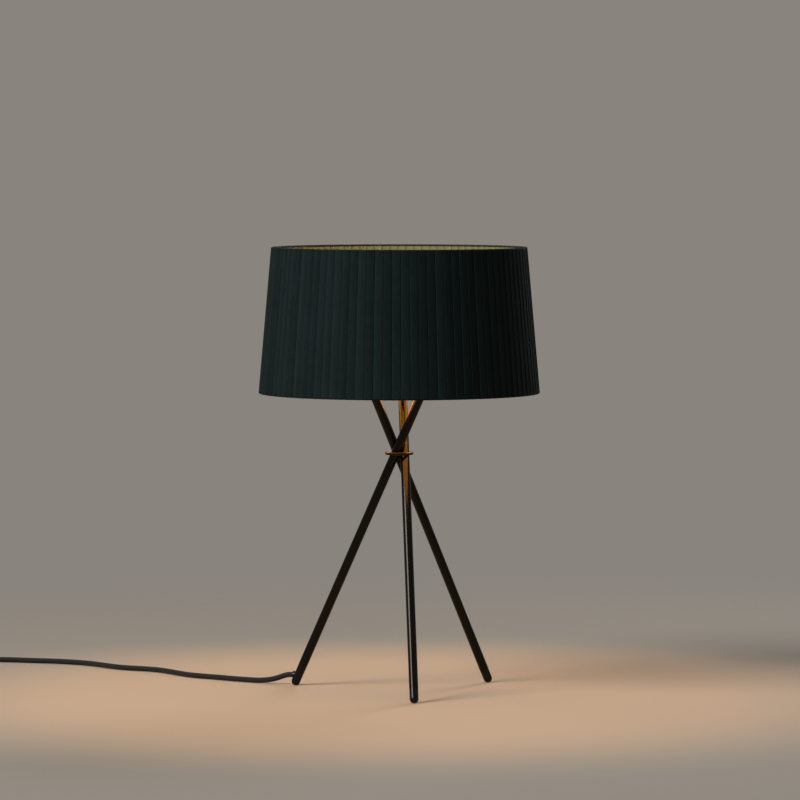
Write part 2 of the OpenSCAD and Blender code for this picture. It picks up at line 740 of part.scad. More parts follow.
module cord_to_switch() color("#17181a") sweep(route_to_switch, cord_d, 8, [0, 0, 1]);
module cord_to_coil() color("#17181a") sweep(route_to_coil, cord_d, 8, [0, 0, 1]);
module cord_coil() color("#17181a") sweep(coil_line, cord_d, 6, [0, 0, 1]);
module cord_to_plug() color("#17181a") sweep(route_to_plug, cord_d, 8, [0, 0, 1]);

// A strap round the bundle on the far side of the coil
module coil_tie() color("#2a2a2c") {
  inner_w = tie_high - tie_low;
  inner_h = cord_d + layer_h + 0.6;
  translate([coil_x - (tie_low + tie_high) / 2, coil_y + tie_w / 2, tie_t + inner_h / 2])
    rotate([90, 0, 0]) linear_extrude(tie_w) difference() {
      round_rect(inner_w + 2 * tie_t, inner_h + 2 * tie_t, 2.5);
      round_rect(inner_w, inner_h, 1.5);
    }
}

module at_switch() {
  translate([switch_x, switch_y, 0]) children();
}

// Outer form of the housing: round corners in plan, bevelled along the top
module switch_form(inset) {
  intersection() {
    linear_extrude(switch_h - inset)
      round_rect(switch_w - 2 * inset, switch_l - 2 * inset, switch_corner - inset);
    rotate([90, 0, 0]) translate([0, 0, -switch_l / 2]) linear_extrude(switch_l)
      polygon([[-switch_w, inset], [switch_w, inset], [switch_w, 0], [switch_w / 2 - inset, switch_h - 5],
        [switch_w / 2 - inset - 3, switch_h - inset], [-switch_w / 2 + inset + 3, switch_h - inset],
        [-switch_w / 2 + inset, switch_h - 5], [-switch_w, 0]]);
  }
}

module cord_entries() {
  translate([0, switch_l, switch_z]) rotate([90, 0, 0]) cylinder(d = boot_base_d - 2, h = 2 * switch_l);
}

module switch_lower() color("#1d1d1f") {
  at_switch() difference() {
    intersection() {
      difference() {
        switch_form(0);
        switch_form(switch_wall);
      }
      translate([-switch_w, -switch_l, 0]) cube([2 * switch_w, 2 * switch_l, switch_z]);
    }
    cord_entries();
    for (s = [-1, 1]) translate([s * screw_x, s * screw_y, -cut]) {
      cylinder(d = screw_d + 2 * fit_gap, h = switch_h);
      cylinder(d = screw_head_d + 2 * fit_gap, h = 1 + cut);
    }
  }
}

module switch_upper() color("#1d1d1f") {
  pivot_z = switch_z + pivot_up;
  at_switch() difference() {
    union() {
      intersection() {
        difference() {
          switch_form(0);
          switch_form(switch_wall);
        }
        translate([-switch_w, -switch_l, switch_z]) cube([2 * switch_w, 2 * switch_l, switch_h]);
      }
      for (x = [-1, 1]) translate([x * (rocker_hole_w / 2 + cheek_t / 2), 0, switch_h - 3.5])
        cube([cheek_t, 9, 6], center = true);
      for (s = [-1, 1]) translate([s * screw_x, s * screw_y, switch_z]) cylinder(d = 4.4, h = switch_z - 1);
    }
    cord_entries();
    translate([-rocker_hole_w / 2, -rocker_hole_l / 2, switch_z]) cube([rocker_hole_w, rocker_hole_l, far]);
    translate([-switch_w / 2 + 4, 0, pivot_z]) rotate([0, 90, 0]) cylinder(d = pin_d, h = switch_w - 8);
    for (s = [-1, 1]) translate([s * screw_x, s * screw_y, switch_z - cut]) cylinder(d = screw_d, h = 5);
  }
}

// Places children on the rocker's pin, leaned to its rest side, with +Z along the pin
module at_rocker() {
  translate([switch_x, switch_y, switch_z + pivot_up])
    rotate([rocker_lean, 0, 0]) rotate([90, 0, 90]) children();
}

module switch_rocker() color("#101011") {
  at_rocker() translate([0, 0, -rocker_w / 2]) difference() {
    linear_extrude(rocker_w) intersection() {
      circle(r = rocker_r, $fn = 96);
      polygon([[-rocker_r, -2.6], [rocker_r, -2.6], [rocker_r, 6.8], [0, 5.2], [-rocker_r, 6.8]]);
    }
    translate([0, 0, -cut]) cylinder(d = pin_d + 2 * pin_gap, h = rocker_w + 2 * cut);
  }
}

module rocker_pin() color("#b9b9bd") {
  l = rocker_hole_w + 2 * cheek_t;
  at_rocker() translate([0, 0, -l / 2]) cylinder(d = pin_d, h = l);
}

// Moving contact under the rocker
module switch_bridge() color("#c8a24a") {
  at_rocker() translate([-7, -3.2, -2]) cube([14, 0.6, 4]);
}

module switch_terminals() color("#c8a24a") {
  at_switch() for (x = [-1, 1]) for (y = [-1, 1])
    translate([x * 4.5 - 2, y * 17 - 3, switch_wall]) difference() {
      cube([4, 6, 4.5]);
      translate([2, 3, 1.5]) cylinder(d = 2, h = 4);
    }
}

module switch_screws() color("#8c8c90") {
  at_switch() for (s = [-1, 1]) translate([s * screw_x, s * screw_y, 0.1]) {
    difference() {
      cylinder(d = screw_head_d, h = 0.9);
      translate([-0.3, -2, -cut]) cube([0.6, 4, 0.5]);
    }
    cylinder(d = screw_d - 0.1, h = switch_z + 3);
  }
}

// A boot with three flex grooves, its wide end at the origin
module boot(l) {
  grooves = 3;
  difference() {
    cylinder(d1 = boot_base_d, d2 = boot_tip_d, h = l);
    for (i = [1:grooves]) translate([0, 0, i * l / (grooves + 1)])
      pipe(boot_base_d + 1, boot_tip_d - 0.6, 1.4);
  }
}

module switch_boot_in() color("#1a1a1c") {
  at_switch() translate([0, switch_l / 2, switch_z]) rotate([-90, 0, 0]) boot(switch_boot_l);
}

module switch_boot_out() color("#1a1a1c") {
  at_switch() translate([0, -switch_l / 2, switch_z]) rotate([90, 0, 0]) boot(switch_boot_l);
}

module plug_boot() color("#1a1a1c") {
  translate([plug_x, plug_y, plug_z]) rotate([-90, 0, 0]) boot(plug_boot_l);
}

// Places children on each pin's line at the plug's front face, with +Z pointing out of it
module at_pins() {
  for (x = [-1, 1]) translate([plug_x + x * plug_pitch / 2, plug_y - plug_l, plug_z])
    rotate([90, 0, 0]) children();
}

// Flat two-pin plug: bevelled edges, narrowing towards the cord, moulded over the roots of the pins
module plug_body() color("#1d1d1f") {
  w = plug_w / 2;
  t = plug_t / 2;
  difference() {
    translate([plug_x, plug_y, 0]) intersection() {
      linear_extrude(plug_t) polygon([[-7, 0], [7, 0], [w - 3, -plug_l * 0.45], [w, -plug_l * 0.6],
        [w, -plug_l], [-w, -plug_l], [-w, -plug_l * 0.6], [-w + 3, -plug_l * 0.45]]);
      translate([0, 0, plug_z]) rotate([90, 0, 0]) linear_extrude(plug_l)
        polygon([[-w, -2], [-w + 6, -t], [w - 6, -t], [w, -2], [w, 2], [w - 6, t], [-w + 6, t], [-w, 2]]);
    }
    at_pins() {
      translate([0, 0, -pin_skin - pin_root_l]) cylinder(d = pin_root_d + 2 * pin_gap, h = pin_root_l);
      translate([0, 0, -pin_skin - cut]) cylinder(d = pin_sleeve_d + 2 * pin_gap, h = pin_skin + 2 * cut);
    }
  }
}

// Each pin has a wide root in the plug, a thin neck under its sleeve and a full tip
module plug_pins() color("#c9c9cc") {
  at_pins() {
    translate([0, 0, -pin_skin - pin_root_l]) cylinder(d = pin_root_d, h = pin_root_l);
    translate([0, 0, -pin_skin - cut]) cylinder(d = pin_neck_d, h = pin_skin + pin_sleeve_l + 2 * cut);
    translate([0, 0, pin_sleeve_l]) cylinder(d = plug_pin_d, h = plug_pin_l - pin_sleeve_l - pin_tip_l);
    translate([0, 0, plug_pin_l - pin_tip_l]) cylinder(d1 = plug_pin_d, d2 = plug_pin_d - 2, h = pin_tip_l);
  }
}

module plug_pin_sleeves() color("#1d1d1f") {
  at_pins() translate([0, 0, -pin_skin])
    pipe(pin_sleeve_d, pin_neck_d + 2 * pin_gap, pin_skin + pin_sleeve_l);
}

leg_right();
leg_left();
leg_front();
foot_right();
foot_front();
foot_cord_outlet();
binding_ring();
carrier();
cup_grub_screws();
nipple();
nipple_nut();
holder_cap();
holder_shell();
holder_core();
holder_screw_shell();
holder_contact();
ring_nut();
shade_bottom_ring();
shade_spider();
shade_top_ring();
shade_lining();
shade_ribbon();
bulb_glass();
bulb_cap();
bulb_contact();
bulb_stem();
bulb_filaments();
inner_lead();
cord_to_switch();
switch_lower();
switch_upper();
switch_rocker();
rocker_pin();
switch_bridge();
switch_terminals();
switch_screws();
switch_boot_in();
switch_boot_out();
cord_to_coil();
cord_coil();
coil_tie();
cord_to_plug();
plug_boot();
plug_body();
plug_pins();
plug_pin_sleeves();
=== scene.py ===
# %% [markdown]
# # A tripod table lamp
# The lamp stands on three straight tubes that cross, bound by a ring. Its drum shade is covered with
# upright strips of dark ribbon, and a braided cord runs from one foot to a switch, a coil and a plug.
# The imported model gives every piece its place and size, in metres, so nothing here is fitted by eye.

import math

import bmesh
import bpy
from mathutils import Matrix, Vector


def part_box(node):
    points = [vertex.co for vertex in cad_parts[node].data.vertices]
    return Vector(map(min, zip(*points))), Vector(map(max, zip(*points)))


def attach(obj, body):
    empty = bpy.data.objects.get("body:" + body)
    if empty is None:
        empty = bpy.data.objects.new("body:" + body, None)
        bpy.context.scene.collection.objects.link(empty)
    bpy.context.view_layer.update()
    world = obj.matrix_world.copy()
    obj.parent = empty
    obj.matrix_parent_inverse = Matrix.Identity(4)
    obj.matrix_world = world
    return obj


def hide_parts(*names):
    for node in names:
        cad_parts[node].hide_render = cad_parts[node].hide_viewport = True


MM = 0.001
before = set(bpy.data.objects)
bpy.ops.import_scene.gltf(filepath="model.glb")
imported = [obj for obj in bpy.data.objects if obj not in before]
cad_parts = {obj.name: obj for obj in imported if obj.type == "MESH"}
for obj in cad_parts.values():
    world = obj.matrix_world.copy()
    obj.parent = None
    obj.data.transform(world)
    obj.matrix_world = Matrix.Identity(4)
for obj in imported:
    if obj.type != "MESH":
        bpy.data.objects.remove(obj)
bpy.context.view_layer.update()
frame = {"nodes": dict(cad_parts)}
scene = bpy.context.scene

# %% [markdown]
# ## The camera
# The picture was taken from about five metres away with a long lens, a little above the shade and tilted
# down by three degrees. A long focal length keeps the shade's edges nearly straight, so the camera comes
# first: every later look at a piece is then made in the right perspective.

# %% Camera
picture_side = 800
focal_pixels = 4794.7
sensor_mm = 36.0
camera_place = (0.85 * MM, -5278.4 * MM, 607.2 * MM)
camera_tilt_down = math.radians(3.10)

camera_data = bpy.data.cameras.new("camera")
camera_data.sensor_fit = "HORIZONTAL"
camera_data.sensor_width = sensor_mm
camera_data.lens = focal_pixels / picture_side * sensor_mm
camera = bpy.data.objects.new("camera", camera_data)
camera.location = camera_place
camera.rotation_euler = (math.pi / 2 - camera_tilt_down, 0, 0)
scene.collection.objects.link(camera)
scene.camera = camera
print("lens", round(camera_data.lens, 1), "mm")

# %% [markdown]
# ## Small helpers for node trees
# A node tree can be built in code like any other thing. One helper adds a node and fills its inputs
# with plain values or with the outputs of other nodes, and another writes a sum as one Math node. Both
# work in material trees and in Geometry Nodes trees.

# %% Node helpers
MIX_FIRST, MIX_SECOND, MIX_RESULT = 6, 7, 2  # the colour sockets of a Mix node


def add(tree, kind, inputs=None, **settings):
    """Adds a node, sets its settings, and fills its inputs with values or with other nodes' outputs."""
    node = tree.nodes.new(kind)
    for name, value in settings.items():
        setattr(node, name, value)
    for key, value in (inputs or {}).items():
        if isinstance(value, bpy.types.NodeSocket):
            tree.links.new(value, node.inputs[key])
        else:
            node.inputs[key].default_value = value
    return node


def calc(tree, operation, *values):
    """The output of one Math node."""
    return add(tree, "ShaderNodeMath", dict(enumerate(values)), operation=operation).outputs[0]


def weighted(tree, *parts):
    """The sum of (value, weight) pairs."""
    terms = [calc(tree, "MULTIPLY", value, weight) for value, weight in parts]
    total = terms[0]
    for term in terms[1:]:
        total = calc(tree, "ADD", total, term)
    return total


def blend_colours(tree, factor, first, second):
    """A colour between two, by a factor from 0 to 1."""
    mix = add(tree, "ShaderNodeMix", {"Factor": factor}, data_type="RGBA")
    for label, value in ((MIX_FIRST, first), (MIX_SECOND, second)):
        if isinstance(value, bpy.types.NodeSocket):
            tree.links.new(value, mix.inputs[label])
        else:
            mix.inputs[label].default_value = (*value, 1)
    return mix.outputs[MIX_RESULT]


def scaled(colour, factor):
    """A colour made darker or lighter."""
    return tuple(min(1.0, channel * factor) for channel in colour)


def remap(tree, value, low, high, to_low, to_high):
    """Maps low..high to to_low..to_high with soft ends."""
    inputs = {"Value": value, "From Min": low, "From Max": high, "To Min": to_low, "To Max": to_high}
    return add(tree, "ShaderNodeMapRange", inputs, interpolation_type="SMOOTHSTEP").outputs[0]


def attribute(tree, name, kind="Fac"):
    """What a mesh carries under a name."""
    return add(tree, "ShaderNodeAttribute", attribute_name=name).outputs[kind]


def tilt_shading(tree, shader, height, distance, strength):
    """Lets a height tilt the shading, as small relief does."""
    bump = add(tree, "ShaderNodeBump", {"Height": height, "Distance": distance, "Strength": strength})
    tree.links.new(bump.outputs[0], shader.inputs["Normal"])


print("helpers ready")

# %% [markdown]
# ## Finishes
# Most pieces of a lamp are painted metal, moulded plastic or rubber. On all of them the tone drifts a
# little from place to place and the surface has a fine grain. One function makes both from noise in
# Object coordinates, which stay with the piece, and each finish sets its own scale and depth.

# %% Grained finishes
NOISE_MIDDLE = (0.3, 0.7)  # the span in which most of the values of smooth noise lie
GRAIN_MIDDLE = (0.25, 0.75)  # the same for fine grain
GLOSS_SWING = 0.12


def new_finish(name, colour, roughness, **sockets):
    """A material with one shader. Other sockets are given by name, with _ for a space."""
    finish = bpy.data.materials.new(name)
    finish.use_nodes = True
    tree = finish.node_tree
    shader = tree.nodes["Principled BSDF"]
    shader.inputs["Base Color"].default_value = (*colour, 1)
    shader.inputs["Roughness"].default_value = roughness
    for label, value in sockets.items():
        shader.inputs[label.replace("_", " ")].default_value = value
    return finish, tree, shader


def object_noise(tree, size, detail=3.0, stretch=(1, 1, 1)):
    """Noise with features of the given size, in metres, fixed to the piece."""
    place = add(tree, "ShaderNodeTexCoord").outputs["Object"]
    place = add(tree, "ShaderNodeMapping", {"Vector": place, "Scale": stretch}).outputs[0]
    noise = add(tree, "ShaderNodeTexNoise", {"Vector": place, "Scale": 1 / size, "Detail": detail})
    return noise.outputs["Fac"]


def grained(name, colour, roughness, drift=0.12, patch=25, grain=0.5, depth=0.02, stretch=(1, 1, 1),
            **sockets):
    """A finish whose tone drifts over patches, with a fine grain. Patch, grain and depth are in mm."""
    finish, tree, shader = new_finish(name, colour, roughness, **sockets)
    patches = object_noise(tree, patch * MM)
    fine = object_noise(tree, grain * MM, 2.0, stretch)
    tone = blend_colours(tree, remap(tree, patches, *NOISE_MIDDLE, 0, 1), scaled(colour, 1 - drift),
                         scaled(colour, 1 + drift))
    tree.links.new(tone, shader.inputs["Base Color"])
    rough = remap(tree, fine, *GRAIN_MIDDLE, roughness * (1 - GLOSS_SWING),
                  min(1, roughness * (1 + GLOSS_SWING)))
    tree.links.new(rough, shader.inputs["Roughness"])
    tilt_shading(tree, shader, fine, depth * MM, 1.0)
    return finish


warm_shine = (1.0, 0.92, 0.82, 1)
leg_paint = grained("leg_paint", (0.003, 0.0026, 0.002), 0.17, patch=60, grain=1.4, depth=0.002,
                    Specular_IOR_Level=0.18, Specular_Tint=warm_shine)
ring_paint = grained("ring_paint", (0.004, 0.0034, 0.0028), 0.24, patch=12, grain=0.9, depth=0.004,
                     Specular_IOR_Level=0.3, Specular_Tint=warm_shine)
foot_rubber = grained("foot_rubber", (0.0035, 0.0033, 0.003), 0.22, patch=8, grain=0.5, depth=0.004,
                      Specular_IOR_Level=0.22)
carrier_paint = grained("carrier_paint", (0.03, 0.03, 0.031), 0.5, patch=15, grain=0.7, depth=0.05)
holder_black = grained("holder_black", (0.022, 0.022, 0.023), 0.3, patch=15, grain=0.6, depth=0.01)
core_ceramic = grained("core_ceramic", (0.78, 0.76, 0.71), 0.22, drift=0.03, grain=2.5, depth=0.02)
frame_white = grained("frame_white", (0.74, 0.73, 0.7), 0.32, drift=0.03, grain=1.2, depth=0.02)
filament_yellow = grained("filament_yellow", (0.9, 0.62, 0.2), 0.5, drift=0.05, grain=0.3, depth=0.02)
lead_black = grained("lead_black", (0.02, 0.02, 0.02), 0.5, patch=10, grain=0.4, depth=0.01)
switch_black = grained("switch_black", (0.02, 0.02, 0.021), 0.46, patch=10, grain=0.28, depth=0.03)
rocker_black = grained("rocker_black", (0.016, 0.016, 0.017), 0.3, patch=8, grain=0.8, depth=0.002)
boot_black = grained("boot_black", (0.018, 0.018, 0.019), 0.58, patch=6, grain=0.3, depth=0.03)
print("grained finishes:", len(bpy.data.materials))

# %% [markdown]
# The strap that ties the coil is a plain weave: threads along it and threads across it, each a wave in
# Object coordinates. Their product lifts every second crossing, which is what makes a weave a weave.

# %% A plain weave
def woven(name, colour, thread):
    """A plain weave: one set of threads runs along Y, the other across it."""
    finish, tree, shader = new_finish(name, colour, 0.8, Sheen_Weight=0.2, Sheen_Roughness=0.5)
    place = add(tree, "ShaderNodeTexCoord").outputs["Object"]
    place = add(tree, "ShaderNodeSeparateXYZ", {0: place})
    up_and_out = calc(tree, "ADD", place.outputs["X"], place.outputs["Z"])
    waves = [calc(tree, "SINE", calc(tree, "MULTIPLY", axis, 2 * math.pi / thread))
             for axis in (up_and_out, place.outputs["Y"])]
    height = remap(tree, calc(tree, "MULTIPLY", *waves), -1.0, 1.0, 0.0, 1.0)
    # low places of the weave get the darker copy of the colour: painted shade between the threads
    tone = blend_colours(tree, height, scaled(colour, 0.6), scaled(colour, 1.4))
    tree.links.new(tone, shader.inputs["Base Color"])
    tilt_shading(tree, shader, height, 0.15 * MM, 0.8)
    return finish


tie_weave = woven("tie_black", (0.03, 0.03, 0.031), thread=1.1 * MM)
print("weave:", tie_weave.name)

# %% [markdown]
# Plated and plain metals get fine marks that run one way: the same noise, drawn out twentyfold along one
# axis. Metallic is the same all over, so it is set on the shader itself.

# %% Metals
ALONG_Y, ALONG_Z = (1, 0.05, 1), (1, 1, 0.05)


def metal(name, colour, roughness, drift, patch, grain=0.25, depth=0.006, stretch=ALONG_Z):
    """Bare metal with marks that run along one axis."""
    return grained(name, colour, roughness, drift, patch, grain, depth, stretch, Metallic=1.0)


screw_steel = metal("screw_steel", (0.56, 0.56, 0.57), 0.34, drift=0.06, patch=6)
contact_brass = metal("contact_brass", (0.72, 0.52, 0.22), 0.3, drift=0.08, patch=6)
cap_nickel = metal("cap_nickel", (0.66, 0.66, 0.66), 0.26, drift=0.05, patch=8, grain=0.3)
pin_nickel = metal("pin_nickel", (0.68, 0.67, 0.65), 0.22, drift=0.04, patch=5, depth=0.004,
                   stretch=ALONG_Y)
print("finishes with the metals:", len(bpy.data.materials))

# %% [markdown]
# ## The bulb's glass
# The lamp is on: warm light colours the inside of the shade and the sides of the legs. A bulb that gives
# all of that light from its skin would show as a flat white disc. So the opal glass only glows softly,
# and a round lamp inside it does the lighting. The glass and what is inside it cast no shadow, and the
# lamp is the glass's child, so that it rides with the bulb when that is lifted out. Rays that leave the
# cloth by chance meet the glass before the lamp, so the lamp is only sampled directly: otherwise the
# lining's tone would jump from place to place.

# %% Opal glass and the light in it
glow_colour = (1.0, 0.6, 0.28)
bulb_opal = grained("bulb_opal", (0.86, 0.82, 0.74), 0.28, drift=0.02, grain=3, depth=0.01,
                    Emission_Color=(1.0, 0.74, 0.42, 1), Emission_Strength=0.85)
bulb_watts = 1.1
bulb_low, bulb_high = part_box("bulb_glass")
bulb_d = bulb_high[0] - bulb_low[0]
lamp_r = 0.42 * bulb_d
node = frame["nodes"]
for name in ("bulb_glass", "bulb_stem", "bulb_filaments"):
    node[name].visible_shadow = False
bulb_data = bpy.data.lights.new("bulb_light", "POINT")
bulb_data.color = glow_colour
bulb_data.energy = bulb_watts
bulb_data.shadow_soft_size = lamp_r
bulb_data.cycles.use_multiple_importance_sampling = False
bulb_light = bpy.data.objects.new("bulb_light", bulb_data)
bulb_light.location = (0, 0, bulb_high[2] - bulb_d / 2)
bulb_light.parent = node["bulb_glass"]
scene.collection.objects.link(bulb_light)
print("bulb's middle at", [round(v, 4) for v in bulb_light.location])

# %% [markdown]
# ## The cord
# A braided mains cord is a fixed length of something that bends softly. Its route is a short list of
# points, the same ones that the solid model uses, and a smooth curve is drawn through them. The spare
# length is wound into a coil beside the lamp: the turns spiral in on the floor, climb over half a turn
# and spiral out again on top, so they come from a formula.

# %% Cord routes, in millimetres
cord_d = 6 * MM
route_to_switch = [
    (-114.6, 47.6, 11.7), (-118.2, 49.3, 11.7), (-124, 52, 11.4), (-130, 54.8, 9.6),
    (-136, 57.7, 7.2), (-143, 61.2, 5.2), (-151, 65.4, 3.8), (-160, 70.3, 3.1), (-170, 76.5, 3),
    (-182, 84, 3), (-194, 93, 3), (-206, 102, 3), (-219, 110.5, 3), (-231, 119.5, 3),
    (-242, 131, 3), (-252, 145, 3), (-262, 160, 3), (-272, 173, 3), (-284, 183, 3), (-297, 190, 3),
    (-310, 196.5, 3), (-322, 205, 3), (-333, 216, 3), (-343, 228, 3), (-354, 240, 3),
    (-367, 251, 3), (-382, 260, 3), (-398, 267, 3), (-415, 272, 3), (-432, 277, 3), (-449, 282, 3),
    (-464, 285, 3), (-477, 284.5, 3), (-488, 279, 3), (-496, 270, 3.4), (-499.6, 259, 4.9),
    (-500, 249, 7), (-500, 241, 8), (-500, 234, 8)]
route_to_coil = [
    (-500, 126, 8), (-500, 119, 8), (-500, 109, 6.8), (-500, 97, 5.1), (-500, 85, 4.4),
    (-500, 75, 4.3), (-500, 68, 4.3)]
route_to_plug = [
    (-500, 52, 10.8), (-500, 45.5, 10.8), (-499.6, 36, 9.4), (-498.8, 24, 6.2), (-498, 12, 3.9),
    (-497.4, 1, 3.2), (-497, -9, 4.3), (-497, -16, 6), (-497, -22, 6.85), (-497, -28, 6.85)]

print("points on the routes:", len(route_to_switch), len(route_to_coil), len(route_to_plug))

# %% The coil's turns, in millimetres
coil_turns = 5
coil_r = 41
coil_middle = (-541, 60)
coil_low = 4.3
layer_h = 6.5
climb = 0.5
loop_points = 48


def coil_point(t):
    """A point of the coil's middle line after t turns."""
    spiral = (coil_turns - climb) / 2
    rise = (1 - math.cos(math.pi * min(max((t - spiral) / climb, 0), 1))) / 2
    r = coil_r - layer_h * min(t, coil_turns - t)
    turn = -2 * math.pi * t
    return (coil_middle[0] + r * math.cos(turn), coil_middle[1] + r * math.sin(turn),
            coil_low + layer_h * rise)


coil_line = [coil_point(i / loop_points) for i in range(coil_turns * loop_points + 1)]
print("points on the coil:", len(coil_line))

# %% [markdown]
# A Catmull-Rom curve passes through every point that it is given. It is sampled every two and a half
# millimetres, and the same samples are later swept into the cord's tube.

# %% A smooth line through the points
ring_gap = 2.5 * MM
steps_between = 12


def smooth_line(route):
    """Samples a Catmull-Rom curve through a route given in millimetres, at even steps, in metres."""
    knots = [Vector(p) * MM for p in route]
    ends = [2 * knots[0] - knots[1]] + knots + [2 * knots[-1] - knots[-2]]
    fine = []
    for a, b, c, d in zip(ends, ends[1:], ends[2:], ends[3:]):
        for i in range(steps_between):
            t = i / steps_between
            fine.append(0.5 * (2 * b + (c - a) * t + (2 * a - 5 * b + 4 * c - d) * t ** 2
                               + (3 * b - a - 3 * c + d) * t ** 3))
    fine.append(knots[-1])
    steps = [0.0]
    for p, q in zip(fine, fine[1:]):
        steps.append(steps[-1] + (q - p).length)
    count = max(2, round(steps[-1] / ring_gap))
    line, at = [], 0
    for k in range(count + 1):
        want = steps[-1] * k / count
        while at < len(fine) - 2 and steps[at + 1] < want:
            at += 1
        span = steps[at + 1] - steps[at]
        line.append(fine[at].lerp(fine[at + 1], (want - steps[at]) / span))
    return line


def length_of(line):
    """The length of a line of points."""
    return sum((q - p).length for p, q in zip(line, line[1:]))


switch_cord_line = smooth_line(route_to_switch)
plug_cord_line = smooth_line(route_to_coil + coil_line + route_to_plug)
print("cord to the switch", round(length_of(switch_cord_line), 4), "m; on to the plug",
      round(length_of(plug_cord_line), 4), "m")

# %% [markdown]
# ## Geometry Nodes, run from the script
# A tree is made once, with a named input for each size, and run on a piece with a Nodes modifier. The
# result becomes a plain mesh and the modifier goes.

# %% Running a tree
SOCKETS = {float: "NodeSocketFloat", int: "NodeSocketInt", "material": "NodeSocketMaterial"}


def new_tree(name, inputs):
    """A tree with a Geometry input and output, and one named input for each (label, kind)."""
    tree = bpy.data.node_groups.new(name, "GeometryNodeTree")
    tree.interface.new_socket("Geometry", in_out="OUTPUT", socket_type="NodeSocketGeometry")
    tree.interface.new_socket("Geometry", in_out="INPUT", socket_type="NodeSocketGeometry")
    for label, kind in inputs:
        tree.interface.new_socket(label, in_out="INPUT", socket_type=SOCKETS[kind])
    return tree, tree.nodes.new("NodeGroupInput"), tree.nodes.new("NodeGroupOutput")


def as_plain_mesh(piece):
    """Takes a piece's modifiers into its mesh."""
    graph = bpy.context.evaluated_depsgraph_get()
    made = bpy.data.meshes.new_from_object(piece.evaluated_get(graph), preserve_all_data_layers=True,
                                           depsgraph=graph)
    piece.modifiers.clear()
    piece.data = made
    return made


def run_tree(tree, name, mesh, values):
    """Runs a tree on a mesh and returns the result as a plain mesh object."""
    piece = bpy.data.objects.new(name, mesh)
    scene.collection.objects.link(piece)
    modifier = piece.modifiers.new(tree.name, "NODES")
    modifier.node_group = tree
    for socket in tree.interface.items_tree:
        if socket.in_out == "INPUT" and socket.name in values:
            modifier[socket.identifier] = values[socket.name]
    made = as_plain_mesh(piece)
    made.name = name
    print(name, len(made.polygons), "faces")
    return piece


print("inputs can be", [kind if isinstance(kind, str) else kind.__name__ for kind in SOCKETS])

# %% [markdown]
# ## Braid
# The cord's cover is a tube of thin threads that cross over and under. The tree sweeps a circle along
# the line and keeps two things for the finish: how far along the cord a point lies, and the direction
# round it, as a cosine and a sine so that there is no seam. The finish turns these into two sets of
# slanted threads.

# %% The tree that sweeps a cord
cord_tree, given, result = new_tree("cord_sweep", [("Radius", float), ("Sides", int),
                                                  ("Cover", "material")])
points = add(cord_tree, "GeometryNodeMeshToPoints", {"Mesh": given.outputs["Geometry"]})
order = add(cord_tree, "GeometryNodeInputIndex").outputs[0]
line = add(cord_tree, "GeometryNodePointsToCurves", {"Points": points.outputs[0], "Weight": order})
along = add(cord_tree, "GeometryNodeSplineParameter").outputs["Length"]
line = add(cord_tree, "GeometryNodeStoreNamedAttribute", {"Geometry": line.outputs[0], "Name": "along",
           "Value": along}, data_type="FLOAT", domain="POINT")
ring = add(cord_tree, "GeometryNodeCurvePrimitiveCircle", {"Resolution": given.outputs["Sides"],
           "Radius": 1.0})
direction = add(cord_tree, "GeometryNodeInputPosition").outputs[0]
ring = add(cord_tree, "GeometryNodeStoreNamedAttribute", {"Geometry": ring.outputs[0], "Name": "round",
           "Value": direction}, data_type="FLOAT_VECTOR", domain="POINT")
size = add(cord_tree, "ShaderNodeCombineXYZ", {axis: given.outputs["Radius"] for axis in "XYZ"})
ring = add(cord_tree, "GeometryNodeTransform", {"Geometry": ring.outputs[0], "Scale": size.outputs[0]})
tube = add(cord_tree, "GeometryNodeCurveToMesh", {"Curve": line.outputs[0],
           "Profile Curve": ring.outputs[0], "Fill Caps": True})
tube = add(cord_tree, "GeometryNodeSetMaterial", {"Geometry": tube.outputs[0],
           "Material": given.outputs["Cover"]})
cord_tree.links.new(tube.outputs[0], result.inputs[0])
print(cord_tree.name, "has", len(cord_tree.nodes), "nodes")


# %% The braided finish
def braid(name, colour, thread, threads_round=12, slant=5.5 * MM):
    """Two sets of threads that cross over and under, read from the along and round attributes."""
    finish, tree, shader = new_finish(name, colour, 0.72, Sheen_Weight=0.1, Sheen_Roughness=0.4,
                                      Specular_IOR_Level=0.25)
    way = add(tree, "ShaderNodeSeparateXYZ", {0: attribute(tree, "round", "Vector")})
    turn = calc(tree, "ARCTAN2", way.outputs["Y"], way.outputs["X"])
    turn = calc(tree, "MULTIPLY", turn, threads_round / (2 * math.pi))
    reach = calc(tree, "DIVIDE", attribute(tree, "along"), slant / 2)
    rise, cells = [], []
    for operation in ("ADD", "SUBTRACT"):
        lane = calc(tree, operation, turn, reach)
        rise.append(calc(tree, "ABSOLUTE", calc(tree, "SINE", calc(tree, "MULTIPLY", lane, math.pi))))
        cells.append(calc(tree, "FLOOR", lane))
    over = calc(tree, "ABSOLUTE", calc(tree, "MODULO", calc(tree, "ADD", *cells), 2.0))
    under = calc(tree, "SUBTRACT", 1.0, over)
    height = weighted(tree, (rise[0], over), (rise[1], under))
    fuzz = object_noise(tree, 0.25 * MM, 2.0)
    # the threads' edges and the gaps between them are darker: painted shade, beside the bump
    tone = calc(tree, "MULTIPLY", height, remap(tree, fuzz, *NOISE_MIDDLE, 0.6, 1.0))
    tree.links.new(blend_colours(tree, tone, colour, thread), shader.inputs["Base Color"])
    tilt_shading(tree, shader, weighted(tree, (height, 1.0), (fuzz, 0.4)), 0.12 * MM, 0.8)
    return finish


cord_textile = braid("cord_textile", (0.005, 0.005, 0.0052), (0.019, 0.0185, 0.0185))
print("braid:", cord_textile.name)

